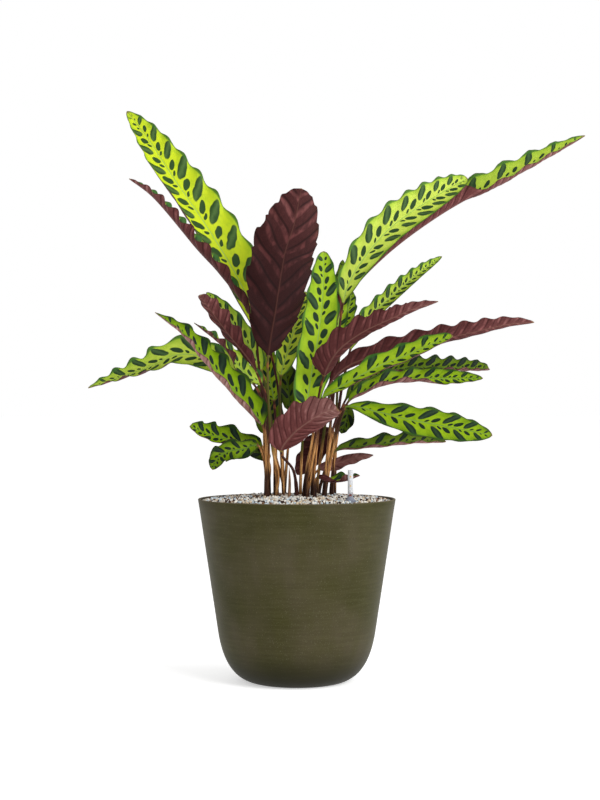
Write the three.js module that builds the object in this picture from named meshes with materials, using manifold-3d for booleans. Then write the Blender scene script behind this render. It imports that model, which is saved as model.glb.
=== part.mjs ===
// A potted calathea: long waved leaves in a round tapered pot filled with pale gravel,
// with a clear water gauge. Millimetres, +Z up, the origin at the middle of the pot's foot.
// The front of the plant faces -Y.

import * as THREE from 'three';
import { mergeVertices } from 'three/addons/utils/BufferGeometryUtils.js';
import Module from 'manifold-3d';

const wasm = await Module();
wasm.setup();

// ---------------------------------------------------------------- driving dimensions

const GAP = 0.35; // between pieces that touch
const HOLE_GAP = 0.6; // around a stalk in the gravel

const POT = { rimRadius: 110, height: 203, wall: 3, floor: 4, rimBevel: 0.8 };
const POT_FOOT = { radius: 50, bellyRadius: 79.5, bellyRise: 6, shoulderRadius: 87.4, shoulder: 54 };
const POT_SIDES = 40;
const FOOT_STEPS = 6;

// Grains are bumps where two wavy trains of ripples cross; ripple and bend are radians a millimetre.
const GRAVEL = { edge: 200, middle: 204, grain: 1.1, ringWidth: 9, ripple: 0.7, bend: 0.41 };

const GAUGE = { x: 58, y: -60, top: 237, tubeRadius: 2.9, bore: 2.1, cap: 1.4 };
const GAUGE_FOOT = { radius: 6.2, height: 9, brim: 2 };
const HOUSING = { bottom: 94, top: 202, radius: 6, wall: 1.4 };
const INLET = { width: 2, height: 8, rise: 8 };
const FLOAT = { radius: 4.1, length: 26, bevel: 0.8, rodRadius: 0.9, top: 211.6 };
const FLOAT_TIP = { radius: 1.5, length: 6 };
const GAUGE_SIDES = 16;

const STALK = { rootRadius: 1.9, neckRadius: 1.2, holeDepth: 15, surface: 208, steps: 4 };
const BLADE = { thickness: 0.95, stationsPerWave: 4, neck: 0.07, outline: [0.55, 0.6] };
const WAVE = { height: 3.2, heightShare: 0.3, scallop: 1.5, scallopShare: 0.09, slant: 1, crowding: 0.25 };
const RIB_TAPER = 0.8; // share of its thickness that the midrib loses towards the tip

// ---------------------------------------------------------------- the leaves

// root: where the stalk leaves the gravel, [x, y].
// stalk: points that the stalk passes on its way up. blade: points of the midrib, base to tip.
// face: the direction that the green upper side faces; tipFace: the same at the tip of a twisted blade.
// width: across both halves.
// twist: where a twist starts and ends, as shares of the length.
// fold: how far the two halves rise from flat, in degrees, as they run left and right of the midrib.
// outline: how fast the width grows from the base and closes at the tip, as powers of the distance.
// wave: the mean length of the margin's waves.
const LEAVES = {
  upper_left: { root: [-15, 40], stalk: [[-16, 38, 240], [-18, 34, 296]], width: 63, fold: [48, 15],
    face: [0.24, -0.96, 0.17], tipFace: [0, -1, 0], twist: [0.6, 0.85], outline: [0.5, 0.65], wave: 33,
    blade: [[-30, 26, 367], [-64, 32, 445], [-100, 40, 506], [-142, 54, 568], [-172, 64, 614],
      [-197, 75, 647]] },
  left_slender: { root: [-33, 2], stalk: [[-35, -4, 251], [-37, -10, 302], [-42, -16, 351]], width: 31,
    fold: [34, 36], face: [0.75, 0.03, 0.66], wave: 27,
    blade: [[-49, -20, 401], [-84, -25, 451], [-108, -29, 477], [-158, -36, 535], [-183, -40, 554]] },
  tall_front: { root: [-23, -4], stalk: [[-21, -12, 228], [-28, -24, 269], [-31, -44, 318]], width: 73,
    fold: [24, 8], face: [-0.14, 0.99, 0.02], outline: [0.65, 0.5], wave: 34,
    blade: [[-31, -52, 358], [-22, -56, 415], [-16, -59, 453], [-12, -61, 474], [-3, -64, 501],
      [5, -68, 540]] },
  left_small_front: { root: [-24, 6], stalk: [[-26, -20, 268]], width: 27, fold: [25, 30],
    face: [0.48, 0.79, 0.38], outline: [0.9, 0.45], wave: 22,
    blade: [[-43, -44, 341], [-76, -68, 387], [-103, -92, 424]] },
  left_small_back: { root: [-22, 28], stalk: [], width: 29, fold: [15, 15], face: [-0.11, -0.99, -0.08],
    outline: [0.55, 0.65], wave: 24, blade: [[-39, 5, 344], [-66, 3, 391], [-101, 6, 433]] },
  left_narrow: { root: [-33, 20], stalk: [[-32, 11, 277]], width: 27, fold: [45, 20],
    face: [0.33, -0.87, 0.38], tipFace: [0.61, -0.37, 0.7], twist: [0.35, 0.6], outline: [0.45, 0.9],
    wave: 22, blade: [[-38, -22, 328], [-57, -30, 342], [-77, -40, 368], [-111, -56, 396]] },
  left_long: { root: [-34, -14], stalk: [[-34, -18, 244]], width: 38, fold: [56, 35],
    face: [0.44, -0.82, 0.37], outline: [0.35, 0.85], wave: 28,
    blade: [[-37, -30, 283], [-59, -42, 312], [-79, -50, 335], [-100, -58, 359], [-121, -68, 384],
      [-151, -82, 406]] },
  left_arched: { root: [-31, 28], stalk: [[-34, 21, 268]], width: 38, fold: [28, 28],
    face: [-0.02, -0.98, 0.17], tipFace: [-0.32, -0.53, 0.78], outline: [0.5, 0.7], wave: 28,
    blade: [[-47, 2, 329], [-103, 4, 360], [-135, 6, 363], [-164, 8, 350], [-198, 10, 338],
      [-234, 12, 326]] },
  left_low: { root: [-31, 12], stalk: [[-32, 12, 230]], width: 30, fold: [40, 25],
    face: [0.08, -0.91, 0.41], outline: [0.5, 0.45], wave: 23,
    blade: [[-38, 3, 260], [-57, -10, 264], [-79, -24, 270], [-97, -38, 275], [-116, -52, 284]] },
  left_drooping: { root: [-32, -6], stalk: [], width: 23, fold: [15, 15], face: [-0.07, -0.99, 0.12],
    outline: [0.5, 0.5], wave: 18,
    blade: [[-42, -22, 262], [-58, -34, 259], [-73, -46, 257], [-84, -60, 251], [-90, -76, 238]] },
  low_hidden: { root: [-33, 38], stalk: [], width: 18, fold: [14, 14], face: [0.1, -0.98, 0.14], wave: 18,
    blade: [[-32, 37, 243], [-46, 34, 255], [-64, 30, 265]] },
  centre_upright: { root: [4, 22], stalk: [[5, 6, 243]], width: 42, fold: [14, 14],
    face: [0.07, -1, -0.01], outline: [0.45, 0.5], wave: 30,
    blade: [[8, -20, 286], [17, -18, 346], [24, -14, 385], [29, -10, 433], [30, -6, 478]] },
  upper_right: { root: [31, 28], stalk: [[36, 14, 268], [44, 4, 346]], width: 45, fold: [14, 27],
    face: [-0.17, -0.97, 0.17], outline: [0.6, 0.5], wave: 25,
    blade: [[51, 0, 418], [61, 5, 449], [101, 14, 502], [148, 22, 537], [193, 30, 564]] },
  far_right: { root: [32, 46], stalk: [[38, 42, 278]], width: 42, fold: [25, 55], face: [-0.71, 0.05, 0.7],
    tipFace: [-0.26, -0.84, 0.48], twist: [0.5, 0.66], outline: [0.5, 0.65], wave: 40,
    blade: [[45, 40, 401], [57, 44, 430], [99, 50, 476], [164, 58, 525], [242, 66, 569], [334, 76, 619]] },
  right_small_back: { root: [41, 50], stalk: [[50, 50, 318], [57, 54, 352]], width: 23, fold: [20, 40],
    face: [-0.12, -0.98, 0.13], outline: [0.4, 0.6], wave: 19,
    blade: [[61, 60, 369], [75, 68, 399], [104, 84, 428], [142, 104, 461], [172, 124, 483]] },
  right_turned: { root: [8, -4], stalk: [[16, -22, 263]], width: 37, fold: [60, 20],
    face: [-0.17, 0.94, 0.29], outline: [0.18, 0.75], wave: 24,
    blade: [[29, -42, 337], [44, -54, 365], [70, -64, 385], [102, -76, 400], [125, -84, 410],
      [150, -94, 417]] },
  back_upright: { root: [44, 82], stalk: [], width: 20, fold: [14, 14], face: [0, -1, 0], wave: 18,
    blade: [[50, 66, 376], [58, 86, 408], [65, 108, 441]] },
  right_long: { root: [17, 4], stalk: [], width: 30, fold: [65, 20], face: [-0.1, 0.94, 0.33],
    outline: [0.5, 0.6], wave: 27,
    blade: [[35, -16, 328], [53, -14, 348], [83, -12, 361], [134, -10, 374], [188, -8, 386],
      [237, -6, 397], [264, -4, 399]] },
  right_front: { root: [12, -16], stalk: [[20, -35, 263]], width: 27, fold: [30, 50],
    face: [-0.13, -0.96, 0.26], outline: [0.55, 0.45], wave: 30,
    blade: [[27, -52, 313], [51, -64, 329], [88, -80, 349], [119, -92, 361], [141, -102, 371],
      [164, -112, 380]] },
  right_level_back: { root: [40, 27], stalk: [], width: 27, fold: [10, 55], face: [0, -0.87, 0.5],
    outline: [0.5, 0.3], wave: 22,
    blade: [[54, 20, 311], [88, 34, 339], [122, 48, 349], [171, 66, 350], [224, 88, 349]] },
  right_level: { root: [32, 12], stalk: [], width: 27, fold: [10, 63], face: [-0.16, -0.85, 0.51],
    tipFace: [0, -0.99, -0.14], twist: [0.5, 0.75], outline: [0.5, 0.6], wave: 22,
    blade: [[56, -8, 309], [73, -4, 321], [98, 0, 332], [132, 5, 336], [172, 10, 337], [209, 15, 337]] },
  right_broad: { root: [30, -6], stalk: [], width: 33, fold: [10, 10], face: [0.17, -0.79, 0.59],
    tipFace: [0.02, -1, 0.08], twist: [0, 0.4], outline: [0.85, 0.6], wave: 30,
    blade: [[51, -26, 303], [91, -38, 299], [119, -50, 292], [151, -64, 286], [178, -76, 281],
      [208, -88, 275]] },
  right_low: { root: [32, 20], stalk: [], width: 22, fold: [30, 57], face: [-0.05, -0.87, 0.5],
    outline: [0.5, 0.55], wave: 25,
    blade: [[42, 10, 254], [70, 18, 260], [100, 26, 263], [134, 34, 266], [170, 44, 265]] },
  right_low_turned: { root: [10, 32], stalk: [], width: 14, fold: [14, 14], face: [0.06, 0.98, -0.2],
    outline: [0.45, 0.7], wave: 20, blade: [[24, 36, 233], [47, 37, 241], [66, 38, 247], [87, 38, 250]] },
  lowest_right: { root: [20, -22], stalk: [], width: 22, fold: [35, 35], face: [-0.1, -0.09, 0.99],
    outline: [0.45, 0.6], wave: 24,
    blade: [[22, -24, 227], [35, -28, 223], [53, -34, 224], [69, -40, 230]] },
  front_turned: { root: [0, -8], stalk: [[-4, -30, 236]], width: 50, fold: [44, 10],
    face: [-0.11, 0.98, 0.13], outline: [0.42, 0.55], wave: 24,
    blade: [[-17, -52, 256], [-4, -70, 276], [12, -88, 289], [30, -106, 300], [43, -118, 303]] },
  back_hanging: { root: [26, 66], stalk: [[42, 63, 267]], width: 30, fold: [14, 14],
    face: [-0.07, 1, 0.05], wave: 22, blade: [[40, 60, 280], [24, 67, 260], [0, 74, 226]] },
  inner_green: { root: [-15, 10], stalk: [[-18, 12, 268]], width: 28, fold: [14, 14], face: [0, -1, 0],
    outline: [0.5, 0.5], wave: 22, blade: [[-18, 14, 338], [-8, 22, 375], [10, 40, 436]] },
  inner_left: { root: [-24, 46], stalk: [], width: 28, fold: [14, 14], face: [0, -1, 0],
    outline: [0.45, 0.5], wave: 24, blade: [[-26, 52, 310], [-34, 58, 349], [-43, 64, 399]] },
  back_dark: { root: [-14, 58], stalk: [], width: 24, fold: [14, 14], face: [0, -1, 0],
    outline: [0.45, 0.5], wave: 22, blade: [[-8, 66, 299], [-11, 74, 333], [-20, 84, 371]] },
  back_dark_left: { root: [-14, 48], stalk: [[-25, 66, 249]], width: 38, fold: [14, 14], face: [0, -1, 0],
    outline: [0.45, 0.45], wave: 22, blade: [[-31, 78, 271], [-34, 88, 301], [-35, 96, 336]] },
  right_hanging: { root: [39, 62], stalk: [], width: 18, fold: [14, 14], face: [0, -1, 0], wave: 18,
    blade: [[54, 56, 307], [58, 58, 297], [51, 60, 274]] },
  back_tip: { root: [23, 60], stalk: [], width: 20, fold: [14, 14], face: [0, -1, 0], wave: 22,
    blade: [[44, 48, 370], [50, 62, 422], [53, 76, 475]] },
};

// ---------------------------------------------------------------- solids and cuts

function closedGeometry(positions, triangles) {
  const geometry = new THREE.BufferGeometry();
  geometry.setAttribute('position', new THREE.Float32BufferAttribute(positions, 3));
  geometry.setIndex(triangles);
  return geometry;
}

// Merges the shared corners and drops the triangles that then have no area.
function welded(geometry) {
  const bare = geometry.clone();
  bare.deleteAttribute('normal');
  bare.deleteAttribute('uv');
  const merged = mergeVertices(bare, 1e-3);
  const index = merged.getIndex().array;
  const kept = [];
  for (let i = 0; i < index.length; i += 3) {
    const [a, b, c] = index.slice(i, i + 3);
    if (a !== b && b !== c && c !== a) kept.push(a, b, c);
  }
  merged.setIndex(kept);
  return merged;
}

function toSolid(geometry) {
  const merged = welded(geometry);
  return new wasm.Manifold(new wasm.Mesh({
    numProp: 3,
    vertProperties: new Float32Array(merged.getAttribute('position').array),
    triVerts: new Uint32Array(merged.getIndex().array),
  }));
}

function fromSolid(solid) {
  const mesh = solid.getMesh();
  return closedGeometry(Array.from(mesh.vertProperties), Array.from(mesh.triVerts));
}

function cut(geometry, tools) {
  return fromSolid(tools.reduce((rest, tool) => rest.subtract(toSolid(tool)), toSolid(geometry)));
}

// Turns a profile of [radius, height] points around +Z. It starts and ends on the axis or closes.
function turned(profile, sides) {
  const points = profile.map(([radius, height]) => new THREE.Vector2(radius, height));
  return welded(new THREE.LatheGeometry(points, sides).rotateX(Math.PI / 2));
}

// ---------------------------------------------------------------- pot and gravel

// The inside or outside of the pot from its foot up to a height, drawn in by an inset.
function potSide(inset, floor, top) {
  const foot = new THREE.Vector2(POT_FOOT.radius - inset, floor);
  const belly = new THREE.Vector2(POT_FOOT.bellyRadius - inset, floor + POT_FOOT.bellyRise);
  const shoulder = new THREE.Vector2(POT_FOOT.shoulderRadius - inset, POT_FOOT.shoulder);
  const lean = (POT.rimRadius - POT_FOOT.shoulderRadius) / (POT.height - POT_FOOT.shoulder);
  const round = new THREE.QuadraticBezierCurve(foot, belly, shoulder).getPoints(FOOT_STEPS);
  return [...round.map((p) => [p.x, p.y]), [shoulder.x + lean * (top - POT_FOOT.shoulder), top]];
}

function potGeometry() {
  const { rimRadius, height, wall, floor, rimBevel } = POT;
  const outside = potSide(0, 0, height - rimBevel);
  const inside = potSide(wall, floor, height - rimBevel).reverse();
  const rim = [[rimRadius - rimBevel, height], [rimRadius - wall + rimBevel, height]];
  return turned([[0, 0], ...outside, ...rim, ...inside, [0, floor]], POT_SIDES);
}

// The height of the gravel: heaped to the middle, with grains raised by crossed waves.
function gravelHeight(x, y) {
  const reach = Math.hypot(x, y) / (POT.rimRadius - POT.wall);
  const heap = GRAVEL.middle + (GRAVEL.edge - GRAVEL.middle) * reach * reach;
  const acrossX = Math.sin(x * GRAVEL.ripple + Math.cos(y * GRAVEL.bend));
  const acrossY = Math.cos(y * GRAVEL.ripple + Math.sin(x * GRAVEL.bend));
  const level = 1 - reach ** 8;
  return heap + GRAVEL.grain * acrossX * acrossY * level;
}

function gravelGeometry() {
  const bottom = POT.floor + GAP;
  const side = potSide(POT.wall + GAP, bottom, GRAVEL.edge);
  const edgeRadius = side.at(-1)[0];
  const rings = Math.round(edgeRadius / GRAVEL.ringWidth);
  const surface = [];
  for (let i = rings - 1; i >= 0; i -= 1) surface.push([(edgeRadius * i) / rings, GRAVEL.middle]);
  const body = turned([[0, bottom], ...side, ...surface], POT_SIDES);
  const position = body.getAttribute('position');
  for (let i = 0; i < position.count; i += 1) {
    const [x, y] = [position.getX(i), position.getY(i)];
    if (position.getZ(i) > (GRAVEL.edge + GRAVEL.middle) / 2) position.setZ(i, gravelHeight(x, y));
  }
  const holes = Object.values(LEAVES).map((leaf) => stalkHole(leaf));
  return cut(body, [...holes, gaugeHole()]);
}

// ---------------------------------------------------------------- water gauge

function atGauge(geometry) {
  return geometry.translate(GAUGE.x, GAUGE.y, 0);
}

function gaugeHole() {
  const radius = GAUGE_FOOT.radius + GAP;
  const bottom = HOUSING.bottom - GAP;
  return atGauge(turned([[0, bottom], [radius, bottom], [radius, GAUGE.top], [0, GAUGE.top]], GAUGE_SIDES));
}

// A clear tube with a closed top, on a bell-shaped foot that stands on the housing.
function gaugeTubeGeometry() {
  const { tubeRadius, bore, cap, top } = GAUGE;
  const bottom = HOUSING.top + GAP;
  const bell = new THREE.QuadraticBezierCurve(
    new THREE.Vector2(GAUGE_FOOT.radius, bottom + GAUGE_FOOT.brim),
    new THREE.Vector2(tubeRadius, bottom + 1.5 * GAUGE_FOOT.brim),
    new THREE.Vector2(tubeRadius, bottom + GAUGE_FOOT.height),
  ).getPoints(5).map((p) => [p.x, p.y]);
  const dome = [[tubeRadius, top - cap], [tubeRadius / 2, top - cap / 8], [0, top]];
  const hollow = [[0, top - cap], [bore, top - 1.5 * cap], [bore, bottom]];
  return atGauge(turned([...hollow, [GAUGE_FOOT.radius, bottom], ...bell, ...dome], GAUGE_SIDES));
}

// The buried housing: a slim cup with crossed slots near its floor that let the water in.
function housingGeometry() {
  const { bottom, top, radius, wall } = HOUSING;
  const floor = bottom + wall;
  const inner = radius - wall;
  const cup = turned([[0, bottom], [radius, bottom], [radius, top], [inner, top], [inner, floor], [0, floor]],
    GAUGE_SIDES);
  const slots = [0, Math.PI / 2].map((turn) => new THREE.BoxGeometry(3 * radius, INLET.width, INLET.height)
    .rotateZ(turn).translate(0, 0, floor + INLET.rise));
  return atGauge(cut(cup, slots));
}

// The float with its rod. The red tip at the top of the rod shows the level in the clear tube.
function floatGeometry() {
  const { radius, length, bevel, rodRadius, top } = FLOAT;
  const bottom = HOUSING.bottom + HOUSING.wall + GAP;
  const shoulder = bottom + length;
  const profile = [
    [0, bottom], [radius - bevel, bottom], [radius, bottom + bevel],
    [radius, shoulder - bevel], [radius - bevel, shoulder], [rodRadius, shoulder],
    [rodRadius, top - FLOAT_TIP.length], [FLOAT_TIP.radius, top - FLOAT_TIP.length + bevel],
    [FLOAT_TIP.radius, top - bevel], [0, top],
  ];
  return atGauge(turned(profile, GAUGE_SIDES));
}

// ---------------------------------------------------------------- leaves

function leafCurve(leaf) {
  const [x, y] = leaf.root;
  const foot = [[x, y, GRAVEL.middle - STALK.holeDepth], [x, y, STALK.surface]];
  const points = [...foot, ...leaf.stalk, ...leaf.blade].map((p) => new THREE.Vector3(...p));
  const spans = points.length - 1;
  const curve = new THREE.CatmullRomCurve3(points, false, 'centripetal');
  return { curve, spans, base: (foot.length + leaf.stalk.length) / spans };
}

// The margin's waves up to a share of the length. They shorten towards the tip.
function turnsAt(share, waves) {
  return (waves * (share + WAVE.crowding * share ** 3)) / (1 + WAVE.crowding);
}

function waveLengthAt(share, length, waves) {
  return (length * (1 + WAVE.crowding)) / (waves * (1 + 3 * WAVE.crowding * share * share));
}

// Stations along the blade at even steps of a wave, as [curve parameter, share of the length].
function bladeStations(curve, base, meanWave) {
  const fine = 200;
  const reach = [0];
  let last = curve.getPoint(base);
  for (let i = 1; i <= fine; i += 1) {
    const next = curve.getPoint(base + ((1 - base) * i) / fine);
    reach.push(reach[i - 1] + next.distanceTo(last));
    last = next;
  }
  const length = reach[fine];
  const waves = Math.max(2, Math.round(length / meanWave));
  const turns = reach.map((along) => turnsAt(along / length, waves));
  const stations = [];
  for (let k = 0, i = 0; k <= waves * BLADE.stationsPerWave; k += 1) {
    const wanted = k / BLADE.stationsPerWave;
    while (i < fine - 1 && turns[i + 1] < wanted) i += 1;
    const step = Math.min(1, (wanted - turns[i]) / (turns[i + 1] - turns[i]));
    const along = THREE.MathUtils.lerp(reach[i], reach[i + 1], step);
    stations.push([base + ((1 - base) * (i + step)) / fine, along / length]);
  }
  return { stations, waves, length };
}

// The point, the side direction and the facing direction of the leaf at one place on its curve.
function frameAt(curve, t, face) {
  const along = curve.getTangent(t).normalize();
  const up = face.clone().addScaledVector(along, -face.dot(along)).normalize();
  return { point: curve.getPoint(t), side: along.clone().cross(up), up };
}

// Half the width of the blade at a share of its length.
function halfWidth(leaf, share) {
  const [rise, fall] = leaf.outline ?? BLADE.outline;
  const widest = rise / (rise + fall);
  const shape = (share / widest) ** rise * ((1 - share) / (1 - widest)) ** fall;
  return Math.max(BLADE.thickness / 2, (leaf.width / 2) * shape);
}

// Six corners around the leaf: left, middle and right on top, then the same below, right to left.
const AROUND = [-1, 0, 1];

function stalkRing(frame, radius) {
  return [150, 90, 30, -30, -90, -150].map((degrees) => {
    const angle = THREE.MathUtils.degToRad(degrees);
    return frame.point.clone()
      .addScaledVector(frame.side, radius * Math.cos(angle))
      .addScaledVector(frame.up, radius * Math.sin(angle));
  });
}

// One ring of the blade. Each half waves in turn, and its margin juts out where it waves up.
function bladeRing(leaf, frame, share, { waves, length }, ribRadius) {
  const half = halfWidth(leaf, share);
  const swell = Math.sin(Math.PI * share) ** 0.5;
  const height = swell * Math.min(WAVE.height, half * WAVE.heightShare);
  const scallop = swell * Math.min(WAVE.scallop, half * WAVE.scallopShare);
  const turns = turnsAt(share, waves) - (WAVE.slant * half) / waveLengthAt(share, length, waves);
  const top = [];
  const bottom = [];
  for (const across of AROUND) {
    const fold = THREE.MathUtils.degToRad(across < 0 ? leaf.fold[0] : leaf.fold[1]) * Math.abs(across);
    const wave = -Math.abs(across) * Math.cos(2 * Math.PI * (across < 0 ? turns : turns + 0.5));
    const width = across * (half + scallop * wave);
    const out = width * Math.cos(fold);
    const rise = Math.abs(width) * Math.sin(fold) + height * wave;
    const lean = -Math.sign(across) * Math.sin(fold);
    const middle = frame.point.clone().addScaledVector(frame.side, out).addScaledVector(frame.up, rise);
    const normal = frame.up.clone().multiplyScalar(Math.cos(fold)).addScaledVector(frame.side, lean);
    const below = across === 0 ? Math.max(ribRadius, BLADE.thickness / 2) : BLADE.thickness / 2;
    top.push(middle.clone().addScaledVector(normal, BLADE.thickness / 2));
    bottom.unshift(middle.clone().addScaledVector(normal, -below));
  }
  return [...top, ...bottom];
}

// Joins rings of corners into one closed body, with the top and the underside split alike.
function loft(rings) {
  const size = rings[0].length;
  const half = size / 2;
  const positions = rings.flat().flatMap((p) => [p.x, p.y, p.z]);
  const triangles = [];
  for (let i = 0; i + 1 < rings.length; i += 1) {
    for (let j = 0; j < size; j += 1) {
      const next = (j + 1) % size;
      const [a, b, c, d] = [i * size + j, i * size + next, (i + 1) * size + next, (i + 1) * size + j];
      if (j < half) triangles.push(a, b, c, a, c, d);
      else triangles.push(a, b, d, b, c, d);
    }
  }
  const lastRing = (rings.length - 1) * size;
  for (let j = 1; j + 1 < size; j += 1) {
    triangles.push(0, j + 1, j);
    triangles.push(lastRing, lastRing + j, lastRing + j + 1);
  }
  return facingOut(positions, triangles);
}

// Turns all the triangles over if they face inwards.
function facingOut(positions, triangles) {
  const corner = (i) => new THREE.Vector3().fromArray(positions, 3 * i);
  let volume = 0;
  for (let i = 0; i < triangles.length; i += 3) {
    const [a, b, c] = triangles.slice(i, i + 3).map(corner);
    volume += a.dot(b.cross(c));
  }
  return closedGeometry(positions, volume > 0 ? triangles : triangles.toReversed());
}

function leafGeometry(leaf) {
  const { curve, base, spans } = leafCurve(leaf);
  const face = new THREE.Vector3(...leaf.face).normalize();
  const rings = [stalkRing(frameAt(curve, 0, face), STALK.rootRadius)];
  const stalkSteps = (Math.round(base * spans) - 1) * STALK.steps;
  for (let i = 0; i < stalkSteps; i += 1) {
    const t = (1 + i / STALK.steps) / spans;
    const radius = THREE.MathUtils.lerp(STALK.rootRadius, STALK.neckRadius, i / stalkSteps);
    rings.push(stalkRing(frameAt(curve, t, face), radius));
  }
  const tipFace = new THREE.Vector3(...(leaf.tipFace ?? leaf.face)).normalize();
  const [twistStart, twistEnd] = leaf.twist ?? [0, 1];
  const blade = bladeStations(curve, base, leaf.wave);
  for (const [t, share] of blade.stations) {
    const twisted = THREE.MathUtils.smoothstep(share, twistStart, twistEnd);
    const frame = frameAt(curve, t, face.clone().lerp(tipFace, twisted));
    const ribRadius = STALK.neckRadius * (1 - RIB_TAPER * share);
    const round = stalkRing(frame, STALK.neckRadius);
    const flat = bladeRing(leaf, frame, share, blade, ribRadius);
    const spread = THREE.MathUtils.smoothstep(share, 0, BLADE.neck);
    rings.push(round.map((corner, i) => corner.lerp(flat[i], spread)));
  }
  return loft(rings);
}

// The plain hole that a stalk stands in, a little wider than the stalk, up past the gravel's surface.
function stalkHole(leaf) {
  const { curve, spans } = leafCurve(leaf);
  const face = new THREE.Vector3(...leaf.face).normalize();
  const rings = [];
  for (const t of [0, 1, 1 + 1 / STALK.steps]) {
    rings.push(stalkRing(frameAt(curve, t / spans, face), STALK.rootRadius + HOLE_GAP));
  }
  const floor = rings[0].map((corner) => corner.clone().setZ(corner.z - GAP));
  return loft([floor, ...rings]);
}

// ---------------------------------------------------------------- materials and the part

function finish(color, roughness, extra = {}) {
  return new THREE.MeshStandardMaterial({ color, roughness, metalness: 0, ...extra });
}

const MATERIALS = {
  pot: finish(0x4c4c34, 0.75),
  gravel: finish(0xc9c2b8, 0.9),
  clear: finish(0xe6ecee, 0.08, { transparent: true, opacity: 0.35 }),
  housing: finish(0xd8d8d4, 0.5),
  float: finish(0xc8402a, 0.5),
  leafGreen: finish(0x9db71c, 0.45),
  leafMaroon: finish(0x6a3238, 0.5),
};

const part = new THREE.Group();

function add(name, geometry, material) {
  const mesh = new THREE.Mesh(geometry, material);
  mesh.name = name;
  part.add(mesh);
}

add('pot', potGeometry(), MATERIALS.pot);
add('gravel', gravelGeometry(), MATERIALS.gravel);
add('gauge_tube', gaugeTubeGeometry(), MATERIALS.clear);
add('gauge_housing', housingGeometry(), MATERIALS.housing);
add('gauge_float', floatGeometry(), MATERIALS.float);
for (const [name, leaf] of Object.entries(LEAVES)) {
  const turnedAway = leaf.face[1] > 0;
  add(`leaf_${name}`, leafGeometry(leaf), turnedAway ? MATERIALS.leafMaroon : MATERIALS.leafGreen);
}

export default part;
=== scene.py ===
"""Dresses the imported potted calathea: finer leaves with their markings, stalks, pot, gravel and gauge."""

import math
from types import SimpleNamespace

import bmesh
import bpy
import numpy as np
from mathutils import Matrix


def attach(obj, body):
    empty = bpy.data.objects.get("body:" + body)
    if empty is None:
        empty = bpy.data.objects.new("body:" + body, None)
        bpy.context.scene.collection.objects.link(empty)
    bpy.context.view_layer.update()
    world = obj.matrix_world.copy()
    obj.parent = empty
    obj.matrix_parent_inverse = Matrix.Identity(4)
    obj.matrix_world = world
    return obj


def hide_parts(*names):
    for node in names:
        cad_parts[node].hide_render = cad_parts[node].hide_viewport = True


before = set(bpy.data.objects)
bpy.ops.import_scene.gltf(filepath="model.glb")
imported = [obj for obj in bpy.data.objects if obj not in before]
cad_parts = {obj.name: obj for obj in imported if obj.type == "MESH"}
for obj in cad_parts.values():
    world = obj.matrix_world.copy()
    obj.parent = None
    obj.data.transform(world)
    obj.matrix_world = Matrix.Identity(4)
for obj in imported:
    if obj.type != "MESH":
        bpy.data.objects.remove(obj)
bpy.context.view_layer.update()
scene = bpy.context.scene

MM = 0.001

# ---- camera and light, in metres

# A level camera that looks along +Y. FOCAL_PIXELS is its focal length, in pixels of the picture.
IMAGE_HEIGHT = 800
FOCAL_PIXELS = 1704.8
SENSOR = 36.0
CAMERA_PLACE = (0.00357, -1.9, 0.3126)

# How bright the white backdrop is as a light, where 1 is what the camera sees.
AMBIENT = 0.53

# Each lamp is a disk: its place, the point it faces, its diameter and its power.
LAMPS = {
    "key": ((1.45, -2.0, 1.5), (0, 0, 0.3), 1.3, 42),
    "side": ((2.2, -0.3, 0.9), (0, 0, 0.3), 1.0, 14),
    "fill": ((-1.4, -1.6, 1.8), (0, 0, 0.6), 1.2, 5),
}


def make_camera():
    data = bpy.data.cameras.new("camera")
    data.sensor_width = SENSOR
    data.lens = SENSOR * FOCAL_PIXELS / IMAGE_HEIGHT
    camera = bpy.data.objects.new("camera", data)
    camera.location = CAMERA_PLACE
    camera.rotation_euler = (math.pi / 2, 0, 0)
    scene.collection.objects.link(camera)
    scene.camera = camera


def make_world():
    world = bpy.data.worlds.new("studio")
    world.use_nodes = True
    tree = world.node_tree
    background = tree.nodes["Background"]
    background.inputs["Color"].default_value = (1, 1, 1, 1)
    path = tree.nodes.new("ShaderNodeLightPath")
    strength = tree.nodes.new("ShaderNodeMapRange")
    strength.inputs["To Min"].default_value = AMBIENT
    tree.links.new(path.outputs["Is Camera Ray"], strength.inputs["Value"])
    tree.links.new(strength.outputs[0], background.inputs["Strength"])
    scene.world = world
    scene.view_settings.view_transform = "Standard"


def make_lamps():
    for name, (place, target, size, power) in LAMPS.items():
        data = bpy.data.lights.new(name, "AREA")
        data.shape = "DISK"
        data.size = size
        data.energy = power
        lamp = bpy.data.objects.new(name, data)
        lamp.location = place
        aim = np.subtract(target, place)
        lamp.rotation_euler = (math.acos(-aim[2] / np.linalg.norm(aim)), 0, math.atan2(-aim[0], aim[1]))
        scene.collection.objects.link(lamp)


# ---- shader helpers


def rgb(red, green, blue):
    """A colour given as it shows on screen, 0 to 255, as the linear values that a shader takes."""
    shares = [channel / 255 for channel in (red, green, blue)]
    return tuple(s / 12.92 if s <= 0.04045 else ((s + 0.055) / 1.055) ** 2.4 for s in shares) + (1.0,)


def stops(*rows):
    """The stops of a colour ramp, from rows of a place and a colour, 0 to 255."""
    return [(place, rgb(*colour)) for place, *colour in rows]


def operator(operation):
    """A method that makes this math node of a value and others."""
    return lambda value, *others: value.shader.math(operation, value, *others)


class Value:
    """What a node gives. Arithmetic with it makes the nodes that work it out."""

    __add__ = __radd__ = operator("ADD")
    __sub__ = operator("SUBTRACT")
    __mul__ = __rmul__ = operator("MULTIPLY")
    __truediv__ = operator("DIVIDE")
    __abs__ = operator("ABSOLUTE")

    def __init__(self, shader, socket):
        self.shader = shader
        self.socket = socket

    def __rsub__(self, other):
        return self.shader.math("SUBTRACT", other, self)


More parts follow.
